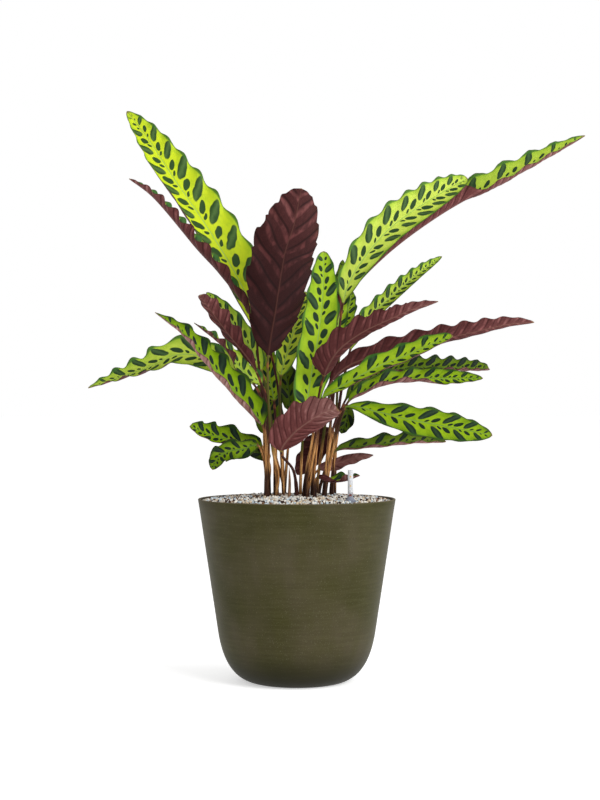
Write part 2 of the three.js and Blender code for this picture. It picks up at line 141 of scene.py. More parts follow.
class Shader:
    """A material whose nodes are made by short calls. These take numbers, colours and values."""

    def __init__(self, name):
        self.material = bpy.data.materials.new(name)
        self.material.use_nodes = True
        self.tree = self.material.node_tree
        self.surface = self.tree.nodes["Principled BSDF"]

    def wire(self, socket, value):
        if isinstance(value, Value):
            self.tree.links.new(value.socket, socket)
        else:
            socket.default_value = value

    def node(self, kind, inputs, **settings):
        made = self.tree.nodes.new(kind)
        for key, value in settings.items():
            setattr(made, key, value)
        for key, value in dict(inputs).items():
            self.wire(made.inputs[key], value)
        return made

    def take(self, output, kind, inputs=(), **settings):
        """One output of a new node."""
        return Value(self, self.node(kind, inputs, **settings).outputs[output])

    def math(self, operation, *values):
        return self.take(0, "ShaderNodeMath", enumerate(values), operation=operation)

    def step(self, value, start, end):
        """0 before start, 1 after end, smooth between. start may be above end."""
        sockets = {"Value": value, "From Min": start, "From Max": end}
        return self.take(0, "ShaderNodeMapRange", sockets, interpolation_type="SMOOTHSTEP")

    def ridge(self, value):
        """0 at each whole number and 1 halfway between two of them."""
        return 1 - 2 * abs(self.math("FRACT", value) - 0.5)

    def mix(self, factor, a, b):
        return self.take(2, "ShaderNodeMix", {"Factor": factor, 6: a, 7: b}, data_type="RGBA")

    def paint(self, colour, where, strength, other):
        """Another colour laid over the first where it says, 0 to 1, by a strength at most."""
        return self.mix(where * strength, colour, other)

    def ramp(self, value, colours):
        """Colours along a value, as (place, colour) stops."""
        made = self.node("ShaderNodeValToRGB", {"Fac": value})
        elements = made.color_ramp.elements
        while len(elements) < len(colours):
            elements.new(1.0)
        for element, (place, colour) in zip(elements, colours):
            element.position, element.color = place, colour
        return Value(self, made.outputs["Color"])

    def chance(self, number):
        """A random value, 0 to 1, that stays the same between two whole numbers."""
        whole = self.math("FLOOR", number)
        return self.take("Value", "ShaderNodeTexWhiteNoise", {"W": whole}, noise_dimensions="1D")

    def value(self, name, output="Fac"):
        """What the mesh tells under a name."""
        return self.take(output, "ShaderNodeAttribute", attribute_name=name)

    def place(self):
        """The point's place in the part, in metres."""
        return self.take("Object", "ShaderNodeTexCoord")

    def in_mm(self, axis):
        """One coordinate of the place, in mm."""
        return self.take(axis, "ShaderNodeSeparateXYZ", {"Vector": self.place()}) / MM

    def vector(self, x, y, z):
        return self.take(0, "ShaderNodeCombineXYZ", {"X": x, "Y": y, "Z": z})

    def scaled(self, vector, factors):
        return self.take(0, "ShaderNodeVectorMath", {0: vector, 1: factors}, operation="MULTIPLY")

    def noise(self, vector, scale, detail):
        sockets = {"Vector": vector, "Scale": scale, "Detail": detail}
        return self.take("Fac", "ShaderNodeTexNoise", sockets)

    def bump(self, height, distance, strength):
        sockets = {"Height": height, "Distance": distance, "Strength": strength}
        self.wire(self.surface.inputs["Normal"], self.take(0, "ShaderNodeBump", sockets))

    def finish(self, colour, roughness, specular=0.5, **others):
        usual = {"Base Color": colour, "Roughness": roughness, "Specular IOR Level": specular}
        for key, value in (usual | others).items():
            self.wire(self.surface.inputs[key.replace("_", " ")], value)
        return self.material


# ---- the leaves' driving dimensions, in mm

# The gravel's top, and the stalks and blades as the source has them.
GRAVEL_MIDDLE = 204
GRAVEL_EDGE = 200
GRAVEL_RADIUS = 107
HOLE_DEPTH = 15
STALK_SURFACE = 208
ROOT_RADIUS = 1.9
NECK_RADIUS = 1.2
NECK_SHARE = 0.07
RIB_TAPER = 0.8
WAVE_HEIGHT = 3.2
WAVE_HEIGHT_SHARE = 0.3
SCALLOP = 1.5
SCALLOP_SHARE = 0.09
SLANT = 1.0
CROWDING = 0.25

# The finer mesh: the distances between its rings, the angle in degrees from which an edge is sharp,
# and its columns as shares of the half width.
STALK_STEP = 5.0
STATION = 1.6
SHARP_ANGLE = 50
HALF_COLUMNS = (0.035, 0.09, 0.2, 0.34, 0.48, 0.62, 0.76, 0.88, 0.96, 1.0)
ACROSS = np.array([*(-a for a in HALF_COLUMNS[::-1]), 0, *HALF_COLUMNS])
NECK_RINGS = 2

# The blade thins by a share towards its margin. Its midrib lies a little deep in the upper face.
THICKNESS = 0.7
MARGIN_THINNING = 0.55
RIB_DEPTH = 0.35
RIB_WIDTH = 0.8

# Side veins are PLEAT apart on average. The drifts say how unevenly: by sines with a reach, a length
# and a phase. Pleats fade in between two distances from the midrib, and teeth between two half widths.
PLEAT = 10.4
VEIN_DRIFTS = ((2.2, 11, 3), (1.2, 5.3, 5))
PLEAT_START = (1, 9)
TOOTH_SPACING = 2 * PLEAT
TOOTH_START = (2, 10)

# A dry sheath makes the lower part of a front stalk thicker. It ends between two shares of the
# stalk's length, counted from the blade. A knot swells each stalk a little way below its blade.
SHEATH = 0.4
SHEATH_END = (0.55, 0.62)
SHEATH_BACK = 10
KNOT = 0.2
KNOT_PLACE = 9
KNOT_LENGTH = 5

# What a leaf has where its row doesn't say. Its seed is its number times LEAF_SEED.
USUAL_LEAF = dict(
    stalk=(), face=(0, -1, 0), twist=(0, 1), fold=(14, 14), outline=(0.55, 0.6), wave=22, under=0.42,
    lean=1, long=1, bare=0, pleat=0.3, pitch=PLEAT, tooth=0.3)
LEAF_SEED = 0.37

# Each leaf: where its stalk leaves the gravel and what it passes; its midrib's points; where its upper
# side faces, also at the tip, and between which shares of its length it turns; how far its left and
# right halves fold up, in degrees; the powers by which its width grows and closes; the mean length of
# its waves. Its look: tone, from 0, shaded, to 1, bright, and that of its underside; how far its
# ovals lean and how long they are; bare is 1 for a stalk without straw; pleat is how high its side
# veins are, pitch how far apart, and tooth how far its margin juts out at them.
LEAVES = dict(
    upper_left=dict(
        root=(-15, 40), stalk=((-16, 38, 240), (-18, 34, 296)), width=63, fold=(48, 15),
        face=(0.24, -0.96, 0.17), tip_face=(0, -1, 0), twist=(0.6, 0.85), outline=(0.5, 0.65), wave=33,
        tone=1, lean=0.75,
        blade=((-30, 26, 367), (-64, 32, 445), (-100, 40, 506), (-142, 54, 568), (-172, 64, 614),
               (-197, 75, 647))),
    left_slender=dict(
        root=(-33, 2), stalk=((-35, -4, 251), (-37, -10, 302), (-42, -16, 351)), width=31, fold=(34, 36),
        face=(0.75, 0.03, 0.66), wave=27, tone=0.9, under=0.4,
        blade=((-49, -20, 401), (-84, -25, 451), (-108, -29, 477), (-158, -36, 535), (-183, -40, 554))),
    tall_front=dict(
        root=(-23, -4), stalk=((-21, -12, 228), (-28, -24, 269), (-31, -44, 318)), width=73, fold=(24, 8),
        face=(-0.14, 0.99, 0.02), outline=(0.65, 0.5), wave=34, tone=0.3, under=0, pleat=1.3,
        pitch=2 * PLEAT, tooth=3,
        blade=((-31, -52, 358), (-22, -56, 415), (-16, -59, 453), (-12, -61, 474), (-3, -64, 501),
               (5, -68, 540))),
    left_small_front=dict(
        root=(-24, 6), stalk=((-26, -20, 268),), width=27, fold=(25, 30), face=(0.48, 0.79, 0.38),
        outline=(0.9, 0.45), tone=0.5, under=0.3, pleat=0.5,
        blade=((-43, -44, 341), (-76, -68, 387), (-103, -92, 424))),
    left_small_back=dict(
        root=(-22, 28), width=29, fold=(15, 15), face=(-0.11, -0.99, -0.08), outline=(0.55, 0.65), wave=24,
        tone=0.85, blade=((-39, 5, 344), (-66, 3, 391), (-101, 6, 433))),
    left_narrow=dict(
        root=(-33, 20), stalk=((-32, 11, 277),), width=27, fold=(45, 20), face=(0.33, -0.87, 0.38),
        tip_face=(0.61, -0.37, 0.7), twist=(0.35, 0.6), outline=(0.45, 0.9), tone=0.85, under=0.5,
        blade=((-38, -22, 328), (-57, -30, 342), (-77, -40, 368), (-111, -56, 396))),
    left_long=dict(
        root=(-34, -14), stalk=((-34, -18, 244),), width=38, fold=(56, 35), face=(0.44, -0.82, 0.37),
        outline=(0.35, 0.85), wave=28, tone=0.37, lean=1.2, under=1,
        blade=((-37, -30, 283), (-59, -42, 312), (-79, -50, 335), (-100, -58, 359), (-121, -68, 384),
               (-151, -82, 406))),
    left_arched=dict(
        root=(-31, 28), stalk=((-34, 21, 268),), width=38, fold=(28, 28), face=(-0.02, -0.98, 0.17),
        tip_face=(-0.32, -0.53, 0.78), outline=(0.5, 0.7), wave=28, tone=0.87,
        blade=((-47, 2, 329), (-103, 4, 360), (-135, 6, 363), (-164, 8, 350), (-198, 10, 338),
               (-234, 12, 326))),
    left_low=dict(
        root=(-31, 12), stalk=((-32, 12, 230),), width=30, fold=(40, 25), face=(0.08, -0.91, 0.41),
        outline=(0.5, 0.45), wave=23, tone=0.33,
        blade=((-38, 3, 260), (-57, -10, 264), (-79, -24, 270), (-97, -38, 275), (-116, -52, 284))),
    left_drooping=dict(
        root=(-32, -6), width=23, fold=(15, 15), face=(-0.07, -0.99, 0.12), outline=(0.5, 0.5), wave=18,
        tone=0.22,
        blade=((-42, -22, 262), (-58, -34, 259), (-73, -46, 257), (-84, -60, 251), (-90, -76, 238))),
    low_hidden=dict(
        root=(-33, 38), width=18, face=(0.1, -0.98, 0.14), wave=18, tone=0.05,
        blade=((-32, 37, 243), (-46, 34, 255), (-64, 30, 265))),
    centre_upright=dict(
        root=(4, 22), stalk=((5, 6, 243),), width=42, face=(0.07, -1, -0.01), outline=(0.45, 0.5), wave=30,
        tone=0.78, lean=0.8, long=0.95,
        blade=((8, -20, 286), (17, -18, 346), (24, -14, 385), (29, -10, 433), (30, -6, 478))),
    upper_right=dict(
        root=(31, 28), stalk=((36, 14, 268), (44, 4, 346)), width=45, fold=(14, 27),
        face=(-0.17, -0.97, 0.17), outline=(0.6, 0.5), wave=25, tone=0.9, long=0.75,
        blade=((51, 0, 418), (61, 5, 449), (101, 14, 502), (148, 22, 537), (193, 30, 564))),
    far_right=dict(
        root=(32, 46), stalk=((38, 42, 278),), width=42, fold=(25, 55), face=(-0.71, 0.05, 0.7),
        tip_face=(-0.26, -0.84, 0.48), twist=(0.5, 0.66), outline=(0.5, 0.65), wave=40, tone=0.85,
        under=0.55, pleat=0.6,
        blade=((45, 40, 401), (57, 44, 430), (99, 50, 476), (164, 58, 525), (242, 66, 569),
               (334, 76, 619))),
    right_small_back=dict(
        root=(41, 50), stalk=((50, 50, 318), (57, 54, 352)), width=23, fold=(20, 40),
        face=(-0.12, -0.98, 0.13), outline=(0.4, 0.6), wave=19, tone=0.85,
        blade=((61, 60, 369), (75, 68, 399), (104, 84, 428), (142, 104, 461), (172, 124, 483))),
    right_turned=dict(
        root=(8, -4), stalk=((16, -22, 263),), width=37, fold=(60, 20), face=(-0.17, 0.94, 0.29),
        outline=(0.18, 0.75), wave=24, tone=0.45, under=0.4, pleat=1, tooth=2,
        blade=((29, -42, 337), (44, -54, 365), (70, -64, 385), (102, -76, 400), (125, -84, 410),
               (150, -94, 417))),
    back_upright=dict(
        root=(44, 82), width=20, wave=18, tone=0.6, blade=((50, 66, 376), (58, 86, 408), (65, 108, 441))),
    right_long=dict(
        root=(17, 4), width=30, fold=(65, 20), face=(-0.1, 0.94, 0.33), outline=(0.5, 0.6), wave=27,
        tone=0.5, under=0.32,
        blade=((35, -16, 328), (53, -14, 348), (83, -12, 361), (134, -10, 374), (188, -8, 386),
               (237, -6, 397), (264, -4, 399))),
    right_front=dict(
        root=(12, -16), stalk=((20, -35, 263),), width=27, fold=(30, 50), face=(-0.13, -0.96, 0.26),
        outline=(0.55, 0.45), wave=30, tone=0.72, lean=1.2, under=0.5,
        blade=((27, -52, 313), (51, -64, 329), (88, -80, 349), (119, -92, 361), (141, -102, 371),
               (164, -112, 380))),
    right_level_back=dict(
        root=(40, 27), width=27, fold=(10, 55), face=(0, -0.87, 0.5), outline=(0.5, 0.3), tone=0.2,
        blade=((54, 20, 311), (88, 34, 339), (122, 48, 349), (171, 66, 350), (224, 88, 349))),
    right_level=dict(
        root=(32, 12), width=27, fold=(10, 63), face=(-0.16, -0.85, 0.51), tip_face=(0, -0.99, -0.14),
        twist=(0.5, 0.75), outline=(0.5, 0.6), tone=0.45, under=0.8,
        blade=((56, -8, 309), (73, -4, 321), (98, 0, 332), (132, 5, 336), (172, 10, 337), (209, 15, 337))),
    right_broad=dict(
        root=(30, -6), width=33, fold=(10, 10), face=(0.17, -0.79, 0.59), tip_face=(0.02, -1, 0.08),
        twist=(0, 0.4), outline=(0.85, 0.6), wave=30, tone=0.5, lean=1.25,
        blade=((51, -26, 303), (91, -38, 299), (119, -50, 292), (151, -64, 286), (178, -76, 281),
               (208, -88, 275))),
    right_low=dict(
        root=(32, 20), width=22, fold=(30, 57), face=(-0.05, -0.87, 0.5), outline=(0.5, 0.55), wave=25,
        tone=0.15, under=0.8,
        blade=((42, 10, 254), (70, 18, 260), (100, 26, 263), (134, 34, 266), (170, 44, 265))),
    right_low_turned=dict(
        root=(10, 32), width=14, face=(0.06, 0.98, -0.2), outline=(0.45, 0.7), wave=20, tone=0.4,
        under=0.75, blade=((24, 36, 233), (47, 37, 241), (66, 38, 247), (87, 38, 250))),
    lowest_right=dict(
        root=(20, -22), width=22, fold=(35, 35), face=(-0.1, -0.09, 0.99), outline=(0.45, 0.6), wave=24,
        tone=0.45, under=0.6, blade=((22, -24, 227), (35, -28, 223), (53, -34, 224), (69, -40, 230))),
    front_turned=dict(
        root=(0, -8), stalk=((-4, -30, 236),), width=50, fold=(44, 10), face=(-0.11, 0.98, 0.13),
        outline=(0.42, 0.55), wave=24, tone=0.75, under=0.57, bare=1, pleat=1.1, tooth=1.8,
        blade=((-17, -52, 256), (-4, -70, 276), (12, -88, 289), (30, -106, 300), (43, -118, 303))),
    back_hanging=dict(
        root=(26, 66), stalk=((42, 63, 267),), width=30, face=(-0.07, 1, 0.05), tone=0, under=0.3,
        blade=((40, 60, 280), (24, 67, 260), (0, 74, 226))),
    inner_green=dict(
        root=(-15, 10), stalk=((-18, 12, 268),), width=28, outline=(0.5, 0.5), tone=0.95,
        blade=((-18, 14, 338), (-8, 22, 375), (10, 40, 436))),
    inner_left=dict(
        root=(-24, 46), width=28, outline=(0.45, 0.5), wave=24, tone=0.6,
        blade=((-26, 52, 310), (-34, 58, 349), (-43, 64, 399))),
    back_dark=dict(
        root=(-14, 58), width=24, outline=(0.45, 0.5), tone=0.08,
        blade=((-8, 66, 299), (-11, 74, 333), (-20, 84, 371))),
    back_dark_left=dict(
        root=(-14, 48), stalk=((-25, 66, 249),), width=38, outline=(0.45, 0.45), tone=0.15,
        blade=((-31, 78, 271), (-34, 88, 301), (-35, 96, 336))),
    right_hanging=dict(
        root=(39, 62), width=18, wave=18, tone=0.1, blade=((54, 56, 307), (58, 58, 297), (51, 60, 274))),
    back_tip=dict(
        root=(23, 60), width=20, tone=0.8, blade=((44, 48, 370), (50, 62, 422), (53, 76, 475))),
)

# ---- leaf shape


def spline(points):
    """A centripetal Catmull-Rom curve through the points, as one cubic for each span."""
    p = np.asarray(points, float)
    p = np.vstack([2 * p[0] - p[1], p, 2 * p[-1] - p[-2]])
    gaps = np.linalg.norm(np.diff(p, axis=0), axis=1)[:, None] ** 0.5
    x0, x1, x2, x3 = p[:-3], p[1:-2], p[2:-1], p[3:]
    d0, d1, d2 = gaps[:-2], gaps[1:-1], gaps[2:]
    start = d1 * ((x1 - x0) / d0 - (x2 - x0) / (d0 + d1) + (x2 - x1) / d1)
    end = d1 * ((x2 - x1) / d1 - (x3 - x1) / (d1 + d2) + (x3 - x2) / d2)
    return np.stack([x1, start, 3 * (x2 - x1) - 2 * start - end, 2 * (x1 - x2) + start + end])


def on_spline(cubics, place):
    """The points and directions at places along the curve, counted in spans."""
    span = np.clip(place.astype(int), 0, cubics.shape[1] - 1)
    w = (place - span)[:, None]
    c0, c1, c2, c3 = cubics[:, span]
    along = c1 + w * (2 * c2 + w * 3 * c3)
    return c0 + w * (c1 + w * (c2 + w * c3)), along / np.linalg.norm(along, axis=1, keepdims=True)


def even_places(cubics, first, last, step, samples=400):
    """Places at even distances along the curve, and the distances."""
    fine = np.linspace(first, last, samples)
    points, _ = on_spline(cubics, fine)
    reach = np.concatenate([[0], np.cumsum(np.linalg.norm(np.diff(points, axis=0), axis=1))])
    wanted = np.linspace(0, reach[-1], max(2, round(reach[-1] / step) + 1))
    return np.interp(wanted, reach, fine), wanted


def arc(start, control, end, steps):
    """Points on a quadratic curve that bends towards a control point."""
    t = np.linspace(0, 1, steps)[:, None]
    start, control, end = np.array([start, control, end], float)
    return (1 - t) ** 2 * start + 2 * t * (1 - t) * control + t ** 2 * end


def unit(vectors):
    return vectors / np.linalg.norm(vectors, axis=-1, keepdims=True)


def smooth(value, start, end):
    """0 before start, 1 after end, smooth between."""
    share = np.clip((value - start) / (end - start), 0, 1)
    return share * share * (3 - 2 * share)


def frames(along, face):
    """The sideways and upward directions where a blade runs along and faces face."""
    up = unit(face - np.sum(face * along, axis=1, keepdims=True) * along)
    return np.cross(along, up), up


def round_ring(points, side, up, radius, count):
    """Rings of 2 * count corners: the upper half from left to right, then the lower half back."""
    angle = math.pi * (1 - (np.arange(2 * count) + 0.5) / count)
    out = (radius[:, None] * np.cos(angle))[..., None] * side[:, None]
    rise = (radius[:, None] * np.sin(angle))[..., None] * up[:, None]
    return points[:, None] + out + rise


def mesh_from(name, points, faces):
    """A mesh of points in mm."""
    mesh = bpy.data.meshes.new(name)
    mesh.from_pydata(points * MM, [], faces)
    return mesh


def ring_mesh(name, rings):
    """A closed mesh through rings of corners. Its last two faces are the end caps."""
    count, size = rings.shape[:2]
    low = (np.arange(count - 1) * size)[:, None]
    j = np.arange(size)
    after = (j + 1) % size
    quads = np.stack([low + j, low + after, low + size + after, low + size + j], axis=-1).reshape(-1, 4)
    caps = [list(range(size))[::-1], list(range((count - 1) * size, count * size))]
    return mesh_from(name, rings.reshape(-1, 3), quads.tolist() + caps)


def rest_on_root(mesh, materials, slot, *replaced):
    """Puts a finished mesh into the scene as a piece of its name, which may replace CAD nodes."""
    mesh.validate()
    mesh.set_sharp_from_angle(angle=math.radians(SHARP_ANGLE))
    for material in materials:
        mesh.materials.append(material)
    piece = bpy.data.objects.new(mesh.name, mesh)
    scene.collection.objects.link(piece)
    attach(piece, "root")
    if replaced:
        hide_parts(*replaced)


def turns_at(share, waves):
    """The margin's waves up to a share of the blade's length. They shorten towards the tip."""
    return waves * (share + CROWDING * share ** 3) / (1 + CROWDING)


def wave_length_at(share, length, waves):
    return length * (1 + CROWDING) / (waves * (1 + 3 * CROWDING * share ** 2))


def uneven(distance, seed):
    """The distance along a blade as its side veins count it, since they aren't evenly set."""
    counted = distance
    for reach, length, phase in VEIN_DRIFTS:
        counted = counted + reach * np.sin(distance / length + phase * seed)
    return counted


def half_width(leaf, share):
    """Half the blade's width at shares of its length."""
    rise_power, fall_power = leaf["outline"]
    widest = rise_power / (rise_power + fall_power)
    shape = (share / widest) ** rise_power * ((1 - share) / (1 - widest)) ** fall_power
    return np.maximum(THICKNESS / 2, leaf["width"] / 2 * shape)


def blade_rings(leaf, places, distance, counted, cubics, waves):
    """The blade's rings, from its neck to its tip, and what its materials read at them."""
    share = distance / distance[-1]
    face = unit(leaf["face"])
    tip_face = unit(leaf.get("tip_face", leaf["face"]))
    twisted = smooth(share, *leaf["twist"])[:, None]
    points, along = on_spline(cubics, places)
    side, up = frames(along, face + (tip_face - face) * twisted)
    half = half_width(leaf, share)
    a = ACROSS[None, :]
    out_share = np.abs(a)
    from_rib = out_share * half[:, None]
    right = a > 0

    # The waves of the margin. Those of the two halves take turns.
    swell = np.sin(math.pi * np.clip(share, 0, 1)) ** 0.5
    height = swell * np.minimum(WAVE_HEIGHT, half * WAVE_HEIGHT_SHARE)
    scallop = swell * np.minimum(SCALLOP, half * SCALLOP_SHARE)
    period = wave_length_at(share, distance[-1], waves)
    turn = turns_at(share, waves)[:, None] - SLANT * from_rib / period[:, None] + np.where(right, 0.5, 0)
    wave = -np.cos(2 * math.pi * turn)

    # Teeth at the margin, and pleats along the side veins.
    slant = counted[:, None] - SLANT * from_rib + np.where(right, PLEAT / 2, 0)
    tooth = leaf["tooth"] * out_share ** 12 * ((slant / TOOTH_SPACING) % 1 - 0.5)
    tooth = tooth * smooth(half[:, None], *TOOTH_START)
    pleats = slant / leaf["pitch"] + leaf["seed"]
    ridge = 1 - 2 * np.abs(pleats % 1 - 0.5)
    pleat = leaf["pleat"] * (smooth(ridge, 0, 1) - 0.5) * smooth(from_rib, *PLEAT_START)

    # The two halves, folded up along the midrib.
    width = (half[:, None] + scallop[:, None] * out_share ** 3 * wave + tooth) * a
    left_fold, right_fold = leaf["fold"]
    fold = np.radians(np.where(right, right_fold, left_fold)) * out_share
    out = width * np.cos(fold)
    rise = np.abs(width) * np.sin(fold) + height[:, None] * a ** 2 * wave + pleat
    middle = points[:, None] + out[..., None] * side[:, None] + rise[..., None] * up[:, None]
    lean = -np.sign(a) * np.sin(fold)
    normal = np.cos(fold)[..., None] * up[:, None] + lean[..., None] * side[:, None]

    # The upper and the lower face, and the midrib. At its neck the blade is as round as its stalk.
    rib_radius = NECK_RADIUS * (1 - RIB_TAPER * share[:, None])
    rib = np.exp(-(from_rib / (RIB_WIDTH * rib_radius)) ** 2)
    thick = THICKNESS / 2 * (1 - MARGIN_THINNING * out_share ** 8)
    top = middle + (thick - RIB_DEPTH * rib)[..., None] * normal
    bottom = middle - np.maximum(thick, rib_radius * rib)[..., None] * normal
    flat = np.concatenate([top, bottom[:, ::-1]], axis=1)
    ring = round_ring(points, side, up, np.full(len(points), NECK_RADIUS), len(ACROSS))
    spread = smooth(share, 0, NECK_SHARE)[:, None, None]
    return ring + (flat - ring) * spread, share, half, period, pleats


def stalk_rings(leaf, places, distance, cubics, base):
    """The stalk's rings, from its hole up to the last one before the blade."""
    points, along = on_spline(cubics, places)
    side, up = frames(along, unit(leaf["face"]))
    climb = np.clip((places - 1) / (base - 1), 0, 1)
    left_over = distance[-1] - distance
    knot = KNOT * np.exp(-((left_over - KNOT_PLACE) / KNOT_LENGTH) ** 2)
    height = SHEATH if leaf["root"][1] < SHEATH_BACK else 0
    sheath = height * smooth(left_over / distance[-1], *SHEATH_END)
    radius = ROOT_RADIUS + (NECK_RADIUS - ROOT_RADIUS) * climb + knot + sheath
    return round_ring(points, side, up, radius, len(ACROSS))[:-1]


def make_leaf(name, leaf, materials):
    x, y = leaf["root"]
    foot = [(x, y, GRAVEL_MIDDLE - HOLE_DEPTH), (x, y, STALK_SURFACE)]
    points = [*foot, *leaf["stalk"], *leaf["blade"]]
    base = len(foot) + len(leaf["stalk"])
    cubics = spline(points)
    stalk_places, climbed = even_places(cubics, 0, base, STALK_STEP)
    places, distance = even_places(cubics, base, len(points) - 1, STATION)
    waves = max(2, round(distance[-1] / leaf["wave"]))
    counted = uneven(distance, leaf["seed"])
    stalk = stalk_rings(leaf, stalk_places, climbed, cubics, base)
    blade, share, half, period, pleats = blade_rings(leaf, places, distance, counted, cubics, waves)
    rings = np.concatenate([stalk, blade])
    count, size = rings.shape[:2]
    mesh = ring_mesh(name, rings)

    # Faces take the upper, the under or the stalk's material. The caps come last.
    top, under, bark = range(3)
    on_blade = np.repeat(np.arange(count - 1) >= len(stalk) + NECK_RINGS, size)
    on_top = np.tile(np.arange(size) < size // 2 - 1, count - 1)
    slots = np.where(on_blade, np.where(on_top, top, under), bark)
    mesh.polygons.foreach_set("material_index", np.concatenate([slots, [bark, under]]).astype(np.int32))
    mesh.shade_smooth()

    # What the materials read: a value for each ring of the stalk and the blade, or each corner.
    before = climbed[:-1]
    by_ring = {
        "vein": (before - climbed[-1], counted),
        "turn": (0 * before, turns_at(share, waves)),
        "period": (0 * before + 1, period),
        "half": (0 * before + 1, half),
        "share": (0 * before, share),
        "climb": (before / climbed[-1], share + 1),
    }
    values = {key: np.repeat(np.concatenate(pair), size) for key, pair in by_ring.items()}
    values["across"] = np.tile(np.concatenate([ACROSS, ACROSS[::-1]]), count)
    both_faces = np.hstack([pleats, pleats[:, ::-1]]).ravel()
    values["pleats"] = np.concatenate([np.zeros(len(stalk) * size), both_faces])
    for key in ("tone", "under", "lean", "long", "bare", "seed"):
        values[key] = np.full(count * size, leaf[key])
    for key, array in values.items():
        mesh.attributes.new(key, "FLOAT", "POINT").data.foreach_set("value", array.astype(np.float32))
    rest_on_root(mesh, materials, "leaf", f"leaf_{name}")


# ---- leaf materials

# Colours of the upper face by its tone. The tone is partly the leaf's own colour and partly painted
# shade: a leaf that lies in shade gets a low tone and darker colours.
FIELD = stops((0, 38, 52, 6), (0.35, 124, 156, 4), (0.8, 158, 188, 34), (0.9, 188, 206, 82),
              (1, 204, 220, 40))
DEEP_FIELD = stops((0, 24, 36, 8), (0.35, 86, 118, 6), (0.8, 116, 156, 34), (1, 158, 192, 44))
OVAL_DARK = stops((0, 12, 18, 12), (0.35, 22, 37, 27), (0.8, 30, 52, 32), (1, 50, 78, 40))
OVAL_LIGHT = stops((0, 22, 30, 20), (0.35, 42, 63, 43), (0.8, 64, 90, 54), (1, 92, 122, 66))
MARGIN = stops((0, 14, 22, 10), (0.35, 34, 60, 20), (1, 60, 108, 44))
MIDRIB = stops((0, 44, 58, 22), (0.35, 96, 132, 50), (1, 158, 192, 92))

# Colours of the underside by its tone, which is partly its own colour and partly painted shade.
# ROSY is its lit colour: painted light on one flank of each pleat and towards the tip, and its fine veins.
MAROON = stops((0, 34, 12, 12), (0.3, 54, 21, 21), (0.6, 88, 44, 43), (1, 132, 88, 82))
ROSY = stops((0, 58, 26, 26), (0.3, 94, 50, 49), (0.6, 134, 82, 80), (1, 180, 146, 138))
UNDER_MIDRIB = stops((0, 66, 38, 32), (0.3, 90, 58, 50), (1, 150, 108, 98))
DRY = rgb(128, 100, 66)

# Colours of dry straw and of its darker foot, by the streaks in them.
STRAW = stops((0.41, 52, 29, 19), (0.46, 132, 84, 48), (0.54, 202, 146, 86), (0.72, 226, 186, 130))
DARK_FOOT_STRAW = stops((0.45, 34, 19, 17), (0.6, 66, 40, 33), (0.75, 140, 98, 66))

# Ovals. Offsets and widths along the leaf count in waves, centres and reaches in shares of the half
# width. On a narrow blade long ovals reach farther, and all are slimmer. MARKED says between which
# shares of the leaf they start and end. Salts make their chances differ.
LONG_OVAL = dict(offset=-0.04, width=0.225, centre=0.55)
SMALL_OVAL = dict(offset=0.4, width=0.17, centre=0.28, reach=0.2)
DOT = dict(offset=0.66, width=0.08, centre=0.15, reach=0.1)
LONG_REACH = 0.39
NARROW_REACH = 0.09
NARROW_BLADE = (20, 12)
OVAL_SLIMNESS = 1.5
MARKED = ((0.03, 0.08), (0.99, 0.96))
OVAL_WANDER = 0.2
LEAST_OVAL = 0.86
SIZE_CHANCE = 0.24
CENTRE_CHANCE = 0.06
LEAF_SALT = 91
SIDE_SALT = 37

# Heights where the straw's darker foot and the straw end. They differ by STRAW_SPREAD between stalks.
DARK_FOOT_END = (230, 214)
STRAW_END = (256, 276)
STRAW_SPREAD = 30


def leaf_place(s):
    """Where a point lies on its leaf, from what the mesh tells. Distances are in mm."""
    at = SimpleNamespace(**{key: s.value(key) for key in ("half", "vein", "seed", "share", "across")})
    at.right = s.math("GREATER_THAN", at.across, 0)
    at.out_share = abs(at.across)
    at.out = at.out_share * at.half
    at.inwards = at.half - at.out
    at.pattern = s.vector(at.vein * 0.05, at.out * 0.08, at.seed + at.right * 5)
    return at


def side_veins(s, at, pitch):
    """How near a point is to a side vein, 0 to 1, as the slanted pleats of the mesh run."""
    slant = at.vein - at.out * SLANT + at.right * (pitch / 2)
    return s.ridge(slant / pitch + at.seed)


def midrib(s, at, outer, inner):
    """1 within the midrib's inner edge. An edge is its distance in mm, and what it loses to the tip."""
    edges = [edge - at.share * loss for edge, loss in (outer, inner)]
    return s.step(at.out, *edges)


def dry_tip(s, at, colour):
    """A dry brown end where the leaf ends in a narrow point."""
    near_tip = s.step(at.share, 0.982, 0.996)
    narrow = s.step(at.half, 5, 3)
    return s.paint(colour, near_tip * narrow, 0.7, DRY)


def oval(s, at, turn, salt, narrow, offset, width, centre, reach):
    """An oval marking in each wave, 1 inside it and 0 outside, and how near its long axis a point is.

    Its size and place differ a little by chance. narrow makes it slimmer, 0 to 1.
    """
    shifted = turn + offset
    luck = s.chance(shifted + salt)
    size = LEAST_OVAL + luck * SIZE_CHANCE
    middle = centre + (luck - 0.5) * CENTRE_CHANCE
    x = (s.math("FRACT", shifted) - 0.5) / (size * narrow * width)
    y = (at.out_share - middle) / (size * reach)
    edge = s.math("SQRT", x * x + y * y)
    return s.step(edge, 1.06, 0.9), s.step(abs(x), 0.7, 0)


